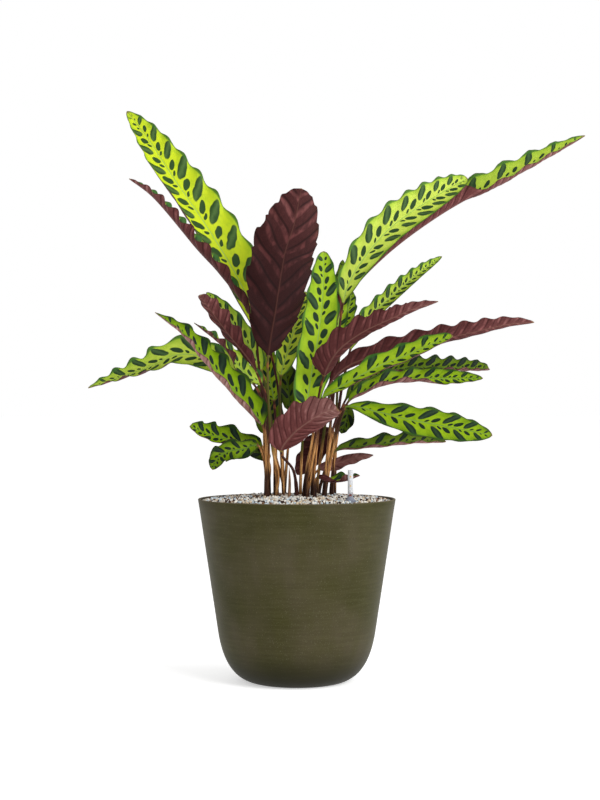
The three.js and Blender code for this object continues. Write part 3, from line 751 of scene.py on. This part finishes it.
def markings(s, at, turn, period):
    """Long ovals from near the midrib to the margin, with small ones and dots between them."""
    wander = (s.noise(at.pattern, 1.4, 1) - 0.5) * OVAL_WANDER
    turn = turn - at.out * s.value("lean") / period + wander
    salt = at.seed * LEAF_SALT + at.right * SIDE_SALT
    narrow = s.math("MINIMUM", 1, at.half * OVAL_SLIMNESS / period)
    extra = s.step(at.half, *NARROW_BLADE) * NARROW_REACH
    reach = s.value("long") * (LONG_REACH + extra)
    long_ovals, core = oval(s, at, turn, salt, narrow, reach=reach, **LONG_OVAL)
    small_ovals, _ = oval(s, at, turn, salt + 11, narrow, **SMALL_OVAL)
    dots, _ = oval(s, at, turn, salt + 23, narrow, **DOT)
    spots = s.math("MAXIMUM", long_ovals, s.math("MAXIMUM", small_ovals, dots))
    for ends in MARKED:
        spots = spots * s.step(at.share, *ends)
    return spots, core


def top_material():
    s = Shader("leaf_top")
    at = leaf_place(s)
    tone, period = s.value("tone"), s.value("period")
    turn = s.value("turn") + at.right * 0.5
    spots, core = markings(s, at, turn, period)
    patches = s.noise(at.pattern, 9, 3)
    broad = s.noise(at.pattern, 2.5, 2)

    # The field is deeper along its veins, in broad patches and near the margin. On the waves' crests near
    # the margin it is deeper too: partly the leaf's own darker green where its ovals meet the margin,
    # partly painted shade that gives the waves their tone.
    margin_turn = turn - at.out * SLANT / period
    crest = 0.5 - 0.5 * s.math("COSINE", margin_turn * (2 * math.pi))
    deep = s.ramp(tone, DEEP_FIELD)
    field = s.ramp(tone, FIELD)
    field = s.paint(field, s.step(side_veins(s, at, PLEAT / 3), 0.75, 1), 0.16, deep)
    field = s.paint(field, s.step(broad, 0.45, 0.75), 0.45, deep)
    field = s.paint(field, s.step(at.inwards, 8, 0.5), 0.55, deep)
    field = s.paint(field, crest * s.step(at.out_share, 0.3, 0.9), 0.35, deep)

    # The ovals are lighter along their axis.
    streak = core * (0.35 + patches * 0.5)
    colour = s.mix(spots, field, s.mix(streak, s.ramp(tone, OVAL_DARK), s.ramp(tone, OVAL_LIGHT)))

    # A dark margin that widens where the long ovals reach it, and a thin dry rim.
    band = s.math("MINIMUM", 0.35 + crest * 1.7, at.half * 0.16)
    colour = s.paint(colour, s.step(at.inwards - band, 1.7, -0.3), 0.9, s.ramp(tone, MARGIN))
    colour = s.paint(colour, s.step(at.inwards, 0.55, 0.2), 0.7, rgb(66, 48, 30))
    colour = s.mix(midrib(s, at, (0.95, 0.5), (0.4, 0.25)), colour, s.ramp(tone, MIDRIB))
    colour = dry_tip(s, at, colour)
    fine = side_veins(s, at, PLEAT / 6)
    s.bump(fine * 0.5 + patches * 0.6, 0.0003, 0.6)
    return s.finish(colour, 0.5, specular=0.1)


def under_material():
    s = Shader("leaf_under")
    at = leaf_place(s)
    # Painted light: the underside turns lighter towards its tip, and its upper part gets a painted rosy
    # highlight, the stronger the darker its tone.
    tone = s.value("under") + s.step(at.share, 0.5, 0.95) * 0.15
    gleam = s.step(at.share, 0.3, 0.85) * (1 - s.value("under")) * 0.28
    patches = s.noise(at.pattern, 6, 4)
    broad = s.noise(at.pattern, 1.7, 2)
    fine = side_veins(s, at, PLEAT / 4)

    # Painted light and shade: one flank of each pleat is painted lighter, as if it caught the light, and
    # the crease between two pleats is painted dark as shade.
    pleats = s.value("pleats")
    across = s.math("FRACT", pleats)
    flank = s.step(across, 0, 0.15) * s.step(across, 0.5, 0.22)
    light = flank * s.step(broad, 0.35, 0.65)
    rosy = s.ramp(tone + gleam, ROSY)
    colour = s.mix(light * 0.62 + patches * 0.3, s.ramp(tone, MAROON), rosy)
    crease = s.step(s.ridge(pleats), 0.72, 1) * s.step(at.out, 1, 4)
    colour = s.paint(colour, crease, 0.8, s.mix(tone, rgb(24, 8, 8), rgb(66, 28, 28)))

    colour = s.paint(colour, s.step(fine, 0.8, 1), 0.1, rosy)
    colour = s.paint(colour, midrib(s, at, (1.3, 0.8), (0.6, 0.4)), 0.8, s.ramp(tone, UNDER_MIDRIB))
    colour = s.paint(colour, s.step(at.inwards, 0.8, 0.1), 0.6, rgb(58, 34, 26))
    colour = dry_tip(s, at, colour)
    s.bump(fine * 0.6 + patches, 0.0004, 0.5)
    return s.finish(colour, 0.55, specular=0.08)


def stalk_material():
    s = Shader("leaf_stalk")
    climb, tone, seed = s.value("climb"), s.value("tone"), s.value("seed")
    fibres = s.vector(s.value("across") * 3.5, s.value("vein") * 0.035, seed * 9)
    streaks = s.noise(fibres, 1, 5)
    luck = s.chance(seed * 50)
    height = s.in_mm("Z") + (luck - 0.5) * STRAW_SPREAD
    fresh = s.mix(s.step(luck, 0.62, 0.66), rgb(60, 30, 27), rgb(74, 80, 28))
    fresh = s.paint(fresh, s.step(streaks, 0.4, 0.7), 0.4, rgb(116, 74, 52))
    straw = s.ramp(streaks, STRAW)
    # Towards the gravel the straw turns darker.
    colour = s.paint(straw, s.step(height, *DARK_FOOT_END), 0.95, s.ramp(streaks, DARK_FOOT_STRAW))
    colour = s.mix(s.step(height, *STRAW_END), colour, fresh)
    colour = s.mix(s.value("bare"), colour, s.mix(streaks * 0.5, rgb(52, 26, 24), rgb(96, 60, 50)))
    knot = s.step(climb, 0.93, 0.95) * s.step(climb, 0.985, 0.965)
    colour = s.paint(colour, knot, 0.7, s.mix(streaks, rgb(92, 50, 28), rgb(168, 104, 58)))
    # The neck takes its leaf's tone, so it carries the same painted shade.
    colour = s.mix(s.step(climb, 1, 1.03), colour, s.mix(tone, rgb(84, 52, 40), rgb(140, 130, 60)))
    s.bump(streaks, 0.0006, 0.8)
    return s.finish(colour, 0.7, specular=0.12)


def make_leaves():
    materials = [top_material(), under_material(), stalk_material()]
    for number, (name, row) in enumerate(LEAVES.items()):
        make_leaf(name, USUAL_LEAF | {"seed": LEAF_SEED * number} | row, materials)


# ---- bract, in mm

# The middle line as a bend, how far the scale curls around it in degrees, and its back from its front.
BRACT_LINE = ((-9, -10, 203), (-7, -12, 218), (-8.5, -13, 238))
BRACT_WIDTH = 3.2
BRACT_POINT = 0.15
BRACT_CURL = 80
BRACT_BACK = (0, 0.4, 0.1)
BRACT_STEPS = 24


def make_bract():
    """A dry, pointed scale left standing among the stalks."""
    line = arc(*BRACT_LINE, BRACT_STEPS)
    half = BRACT_WIDTH / 2 * (1 - np.linspace(0, 1, BRACT_STEPS) ** 3) + BRACT_POINT
    curl = np.radians(np.linspace(-BRACT_CURL, BRACT_CURL, 9))
    section = np.stack([np.sin(curl), -np.cos(curl), 0 * curl], axis=1)
    front = line[:, None] + half[:, None, None] * section
    back = front + np.array(BRACT_BACK)
    mesh = ring_mesh("dry_bract", np.concatenate([front, back[:, ::-1]], axis=1))
    s = Shader("dry_bract_skin")
    streaks = s.noise(s.scaled(s.place(), (900, 900, 40)), 1, 3)
    s.bump(streaks, 0.0005, 0.6)
    skin = s.finish(s.mix(streaks, rgb(70, 42, 30), rgb(176, 132, 96)), 0.8)
    rest_on_root(mesh, [skin], "leaf")


# ---- pot, in mm

POT_RIM = 110
POT_HEIGHT = 203
POT_WALL = 3
POT_FLOOR = 4
RIM_BEVEL = 0.8
FOOT_RADIUS = 50
BELLY_RADIUS = 79.5
BELLY_RISE = 6
SHOULDER_RADIUS = 87.4
SHOULDER = 54
POT_SIDES = 144

# Heights between which painted shade darkens the glaze towards the foot, and where a painted
# highlight along the rim starts.
FOOT_SHADE = (50, 4)
RIM_HIGHLIGHT = (201.8, 202.8)


def turned_mesh(name, profile, sides, centre=(0, 0)):
    """Turns a profile of (radius, height) points around the vertical through centre."""
    rings, faces, start = [], [], []
    angle = 2 * math.pi * np.arange(sides) / sides
    for radius, height in profile:
        start.append(sum(len(ring) for ring in rings))
        around = angle if radius else angle[:1]
        x, y = centre[0] + radius * np.cos(around), centre[1] + radius * np.sin(around)
        rings.append(np.stack([x, y, 0 * around + height], axis=1))
    for k in range(len(profile) - 1):
        a, b = start[k], start[k + 1]
        for i in range(sides):
            j = (i + 1) % sides
            lower = [a + i, a + j] if len(rings[k]) > 1 else [a]
            upper = [b + j, b + i] if len(rings[k + 1]) > 1 else [b]
            faces.append(lower + upper)
    mesh = mesh_from(name, np.concatenate(rings), faces)
    mesh.shade_smooth()
    return mesh


def pot_side(inset, floor, steps):
    """The round foot and the straight side, from the floor up to the rim."""
    foot = (FOOT_RADIUS - inset, floor)
    belly = (BELLY_RADIUS - inset, floor + BELLY_RISE)
    shoulder = (SHOULDER_RADIUS - inset, SHOULDER)
    lean = (POT_RIM - SHOULDER_RADIUS) / (POT_HEIGHT - SHOULDER)
    heights = np.linspace(SHOULDER, POT_HEIGHT - RIM_BEVEL, 12)[1:]
    straight = [(shoulder[0] + lean * (height - SHOULDER), height) for height in heights]
    return [*arc(foot, belly, shoulder, steps), *straight]


def rounded(middle, bottom, width, height, degrees, steps):
    """Points over a rounded edge, from its outer side and through an angle."""
    turns = np.radians(np.linspace(0, degrees, steps))
    return [(middle + width * math.cos(turn), bottom + height * math.sin(turn)) for turn in turns]


def pot_glaze():
    s = Shader("pot_glaze")
    place, height = s.place(), s.in_mm("Z")
    streaks = s.noise(s.scaled(place, (60, 60, 7)), 1, 4)
    lines = s.noise(s.scaled(place, (24, 24, 420)), 1, 3)
    patches = s.noise(place, 14, 3)
    grain = s.noise(place, 900, 2)
    colour = s.mix(s.step(patches, 0.3, 0.7), rgb(50, 48, 18), rgb(66, 60, 42))
    colour = s.paint(colour, s.step(streaks, 0.35, 0.65), 0.35, rgb(56, 54, 21))
    colour = s.paint(colour, s.step(lines, 0.35, 0.75), 0.14, rgb(88, 85, 56))
    colour = s.paint(colour, s.step(grain, 0.6, 0.72), 0.2, rgb(120, 118, 92))
    # Painted shade towards the foot, and a painted highlight along the rim.
    colour = s.paint(colour, s.step(height, *FOOT_SHADE), 0.9, rgb(24, 23, 8))
    colour = s.paint(colour, s.step(height, *RIM_HIGHLIGHT), 0.8, rgb(102, 92, 68))
    s.bump(grain * 0.4 + streaks, 0.0003, 0.4)
    return s.finish(colour, 0.5, specular=0.09)


def make_pot():
    outside = pot_side(inset=0, floor=0, steps=24)
    inside = pot_side(POT_WALL, POT_FLOOR, steps=16)[::-1]
    half_wall = POT_WALL / 2
    bevel_bottom = POT_HEIGHT - RIM_BEVEL
    rim = rounded(POT_RIM - half_wall, bevel_bottom, half_wall, RIM_BEVEL, degrees=180, steps=9)
    profile = [(0, 0), *outside[:-1], *rim, *inside[1:], (0, POT_FLOOR)]
    rest_on_root(turned_mesh("pot_shell", profile, POT_SIDES), [pot_glaze()], "pot", "pot")


# ---- gravel, in mm

# Where the gauge stands, and the radius of its foot.
GAUGE_PLACE = (58, -60)
GAUGE_FOOT = 6.2

# Two layers of stones in staggered rows: the spacing and the outer radius of each.
STONE_LAYERS = ((3.1, 104.5), (5.6, 97))
ROW_SHARE = 0.87
LAYER_RISE = 1.6
STONE_SHIFT = 1.1
STONE_LIFT = 0.5
STONE_RADIUS = (1.1, 2.1)
STALK_CLEARANCE = 2.4

# Each stone is a ball with flat cuts at a distance from its middle, stretched along three axes.
STONE_CUTS = 7
CUT_DISTANCE = (0.55, 0.85)
STRETCH = (0.75, 1.25)
BRIGHTNESS = (0.75, 1.1)
STONE_SEED = 11

# The share of each colour among the stones.
STONE_COLOURS = stops((0.38, 240, 236, 226), (0.2, 196, 210, 218), (0.13, 214, 196, 168),
                      (0.13, 130, 98, 74), (0.16, 62, 42, 36))


def gravel_height(x, y):
    reach = np.hypot(x, y) / GRAVEL_RADIUS
    return GRAVEL_MIDDLE + (GRAVEL_EDGE - GRAVEL_MIDDLE) * reach ** 2


def is_free(x, y, size):
    """Whether a stone of this size clears the gauge and every stalk."""
    if math.dist((x, y), GAUGE_PLACE) < GAUGE_FOOT + size:
        return False
    return all(math.dist((x, y), leaf["root"]) >= STALK_CLEARANCE + size for leaf in LEAVES.values())


def stone_places(rng):
    places = []
    for layer, (spacing, radius) in enumerate(STONE_LAYERS):
        row_spacing = spacing * ROW_SHARE
        for row in range(int(2 * radius / row_spacing) + 1):
            for column in range(int(2 * radius / spacing) + 1):
                x = -radius + spacing * (column + 0.5 * (row % 2)) + rng.uniform(-STONE_SHIFT, STONE_SHIFT)
                y = -radius + row_spacing * row + rng.uniform(-STONE_SHIFT, STONE_SHIFT)
                size = rng.uniform(*STONE_RADIUS)
                if math.hypot(x, y) <= radius and is_free(x, y, size):
                    lift = layer * LAYER_RISE + rng.uniform(-STONE_LIFT, STONE_LIFT)
                    places.append((x, y, gravel_height(x, y) + lift, size))
    return places


def stone_shape(rng, ball):
    """A chip: a ball cut flat by a few planes, stretched and turned at random."""
    shape = ball.copy()
    for _ in range(STONE_CUTS):
        normal = unit(rng.normal(size=3))
        over = np.maximum(shape @ normal - rng.uniform(*CUT_DISTANCE), 0)
        shape -= over[:, None] * normal
    shape *= rng.uniform(*STRETCH, 3)
    turn, _ = np.linalg.qr(rng.normal(size=(3, 3)))
    return shape @ turn


def stone_material():
    s = Shader("gravel_stone")
    speckle = s.noise(s.place(), 900, 3)
    colour = s.paint(s.value("tint", "Color"), s.step(speckle, 0.5, 0.75), 0.5, rgb(96, 84, 72))
    s.bump(speckle, 0.0006, 0.8)
    return s.finish(colour, 0.85, specular=0.3)


def bed_material():
    s = Shader("gravel_bed")
    grains = s.take("Distance", "ShaderNodeTexVoronoi", {"Vector": s.place(), "Scale": 240})
    s.bump(1 - grains, 0.002, 1)
    return s.finish(s.mix(grains, rgb(150, 134, 112), rgb(60, 48, 38)), 0.9)


def dress_node(name, material):
    """Gives a CAD node that stays in view its own material."""
    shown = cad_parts[name]
    shown.data.materials.clear()
    shown.data.materials.append(material)


def make_gravel():
    rng = np.random.default_rng(STONE_SEED)
    bm = bmesh.new()
    bmesh.ops.create_icosphere(bm, subdivisions=2, radius=1.0)
    ball = np.array([v.co for v in bm.verts])
    ball_faces = np.array([[v.index for v in f.verts] for f in bm.faces])
    bm.free()
    weights, colours = map(np.array, zip(*STONE_COLOURS))
    points, faces, tints = [], [], []
    for x, y, z, size in stone_places(rng):
        faces.append(ball_faces + len(points) * len(ball))
        points.append(stone_shape(rng, ball) * size + (x, y, z))
        tint = colours[rng.choice(len(colours), p=weights / weights.sum())] * rng.uniform(*BRIGHTNESS)
        tints.append(np.tile(tint, (len(ball), 1)))
    mesh = mesh_from("gravel_stones", np.concatenate(points), np.concatenate(faces).tolist())
    tint = mesh.color_attributes.new("tint", "FLOAT_COLOR", "POINT")
    tint.data.foreach_set("color", np.clip(np.concatenate(tints), 0, 1).astype(np.float32).ravel())
    rest_on_root(mesh, [stone_material()], "gravel")
    dress_node("gravel", bed_material())


# ---- gauge, in mm

GAUGE_TOP = 237
TUBE_RADIUS = 2.9
TUBE_BORE = 2.1
TUBE_BOTTOM = 202.35
TUBE_EDGE = 0.4
TUBE_SIDES = 40

# The bell-shaped foot: its brim, the bend's control point and its top, above the tube's bottom.
BRIM = 2
BELL_BEND = 3
BELL_HEIGHT = 9

# The rounded end of the bore, as shares of its radius and depths below the tube's top.
BORE_END = ((0, 1.4), (0.7, 1.6), (1, 2.4))

# Two plain marks: their heights, half their width, and where their upper and lower edges fade.
MARKS = (220, 230)
MARK_HALF = 0.9
MARK_FADE = (0.9, 0.6)

# The tube is clear between these heights, where the tip of the float shows. Its foot is greyer.
WINDOW = ((208, 209), (214, 212))
GREY_FOOT = (209.5, 207.5)

# Colours of the CAD nodes that stay in view.
GAUGE_COLOURS = {
    "gauge_housing": (rgb(206, 206, 200), rgb(226, 226, 222)),
    "gauge_float": (rgb(182, 44, 26), rgb(214, 66, 38)),
}


def clear_plastic():
    s = Shader("clear_plastic")
    height = s.in_mm("Z")
    haze = s.noise(s.place(), 300, 2)
    colour = s.mix(haze, rgb(214, 216, 220), rgb(228, 229, 232))
    colour = s.mix(s.step(height, *GREY_FOOT), colour, rgb(150, 156, 172))
    sideways = abs(s.in_mm("X") - GAUGE_PLACE[0])
    front = s.math("LESS_THAN", sideways, MARK_HALF)
    for mark in MARKS:
        near = s.step(abs(height - mark), *MARK_FADE)
        colour = s.mix(near * front, colour, rgb(226, 186, 92))
    bottom, top = WINDOW
    window = s.step(height, *bottom) * s.step(height, *top)
    clear = 0.3 + window * 0.65
    return s.finish(colour, 0.2 + haze * 0.1, Transmission_Weight=clear, IOR=1.15)


def make_gauge():
    brim = (GAUGE_FOOT, TUBE_BOTTOM + BRIM)
    bend = (TUBE_RADIUS, TUBE_BOTTOM + BELL_BEND)
    neck = (TUBE_RADIUS, TUBE_BOTTOM + BELL_HEIGHT)
    bell = arc(brim, bend, neck, steps=12)
    middle, bottom = TUBE_RADIUS - TUBE_EDGE, GAUGE_TOP - TUBE_EDGE
    edge = rounded(middle, bottom, TUBE_EDGE, TUBE_EDGE, degrees=90, steps=7)
    bore = [(share * TUBE_BORE, GAUGE_TOP - depth) for share, depth in BORE_END]
    profile = [*bore, (TUBE_BORE, TUBE_BOTTOM), (GAUGE_FOOT, TUBE_BOTTOM), *bell, *edge, (0, GAUGE_TOP)]
    mesh = turned_mesh("gauge_clear_tube", profile, TUBE_SIDES, GAUGE_PLACE)
    rest_on_root(mesh, [clear_plastic()], "gauge_clear", "gauge_tube")

    for name, colours in GAUGE_COLOURS.items():
        s = Shader(name + "_plastic")
        s.bump(s.noise(s.place(), 1500, 2), 0.0002, 0.4)
        dress_node(name, s.finish(s.mix(s.noise(s.place(), 120, 2), *colours), 0.45))


# ---- floor, in mm

FLOOR_RADIUS = 30000
FLOOR_SIDES = 96


def make_floor():
    """A white paper disk that catches the shadow."""
    mesh = turned_mesh("floor", [(FLOOR_RADIUS, 0), (0, 0)], FLOOR_SIDES)
    floor = bpy.data.objects.new("floor", mesh)
    scene.collection.objects.link(floor)
    s = Shader("floor_paper")
    colour = s.mix(s.noise(s.place(), 3, 2), rgb(250, 250, 250), rgb(253, 253, 253))
    paper = s.finish(colour, 0.9, specular=0.1, Emission_Color=(1, 1, 1, 1), Emission_Strength=0.5)
    floor.data.materials.append(paper)


make_camera()
make_world()
make_lamps()
make_leaves()
make_bract()
make_pot()
make_gravel()
make_gauge()
make_floor()
